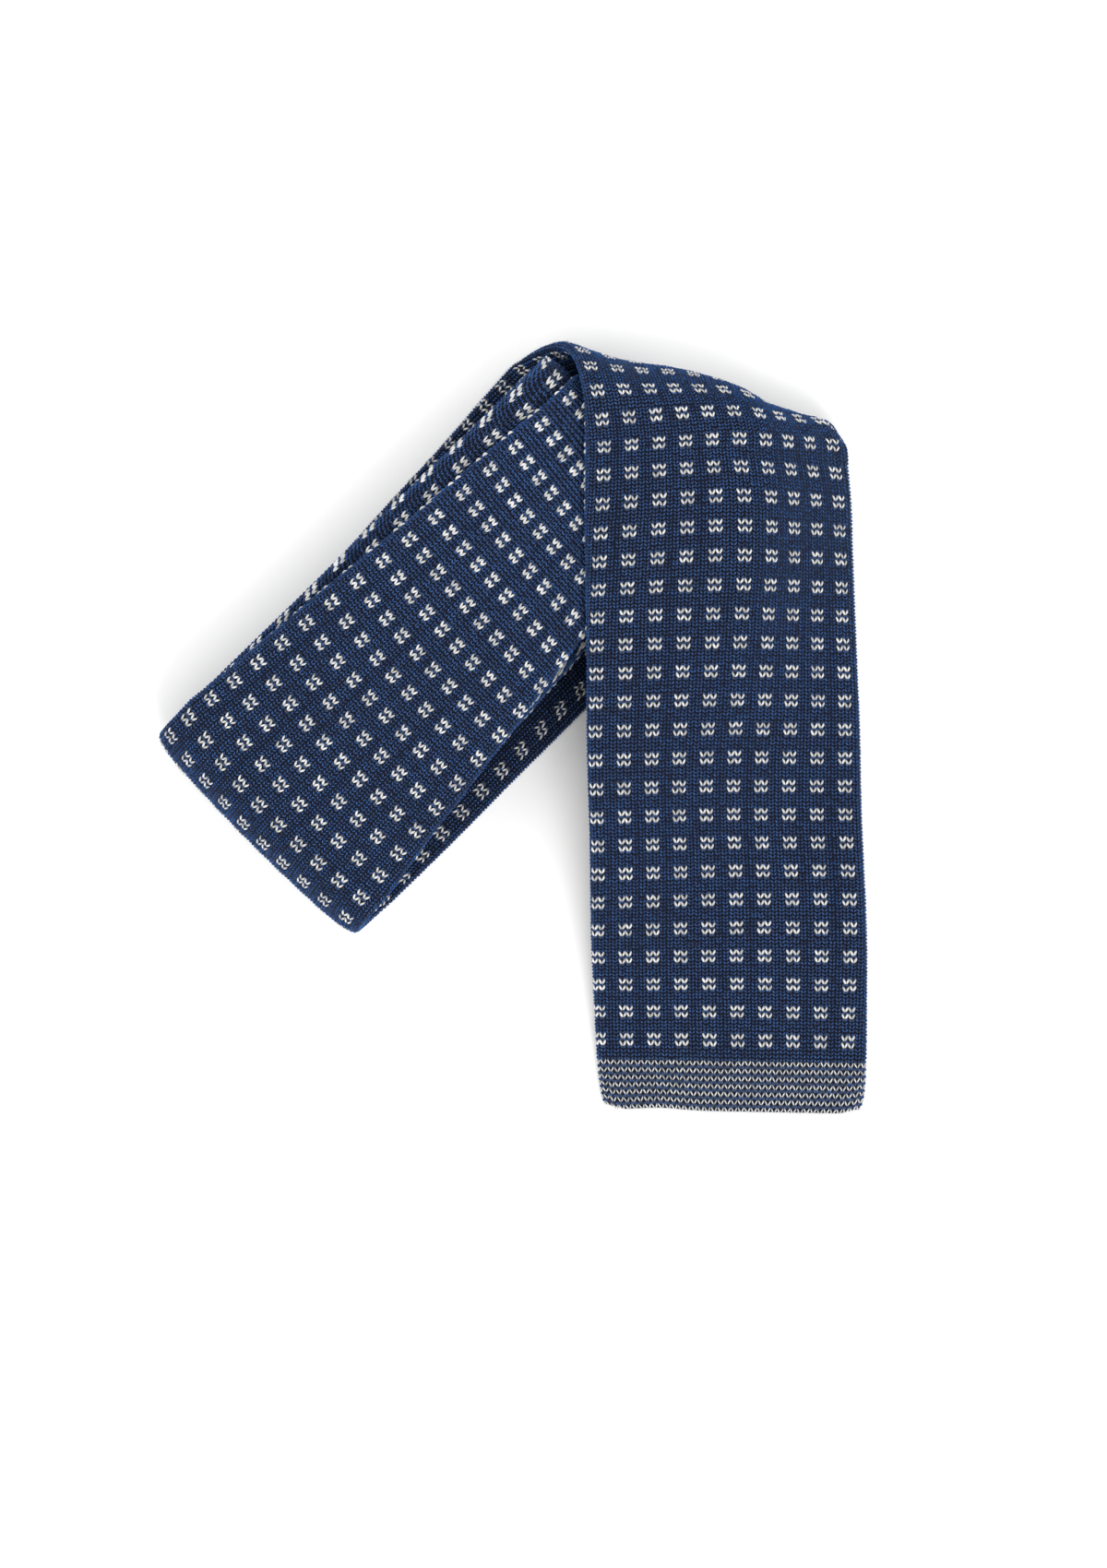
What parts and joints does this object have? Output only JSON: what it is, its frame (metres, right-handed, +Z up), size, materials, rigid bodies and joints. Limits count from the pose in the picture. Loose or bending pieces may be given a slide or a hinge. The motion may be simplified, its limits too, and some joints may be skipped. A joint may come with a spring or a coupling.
{
  "type": "knit tie",
  "caption": "Square-ended knitted wool tie with small light spots and a striped welt, folded into a flat stack and lying at rest.",
  "frame": {"origin": "middle of the outline's box in plan, on the surface that the tie lies on", "axes": "+Z up from that surface, +Y up the length of the blade from its welt to the top fold, +X to the right of the blade's face"},
  "size_m": [0.1566, 0.1696, 0.0254],
  "materials": {
    "spotted_knit": "matte, slightly fuzzy wool stocking stitch",
    "striped_knit": "matte, slightly fuzzy wool in single-course stripes"
  },
  "bodies": {
    "root": {"spotted_tube": "spotted_knit", "striped_welt": "striped_knit"}
  },
  "joints": []
}
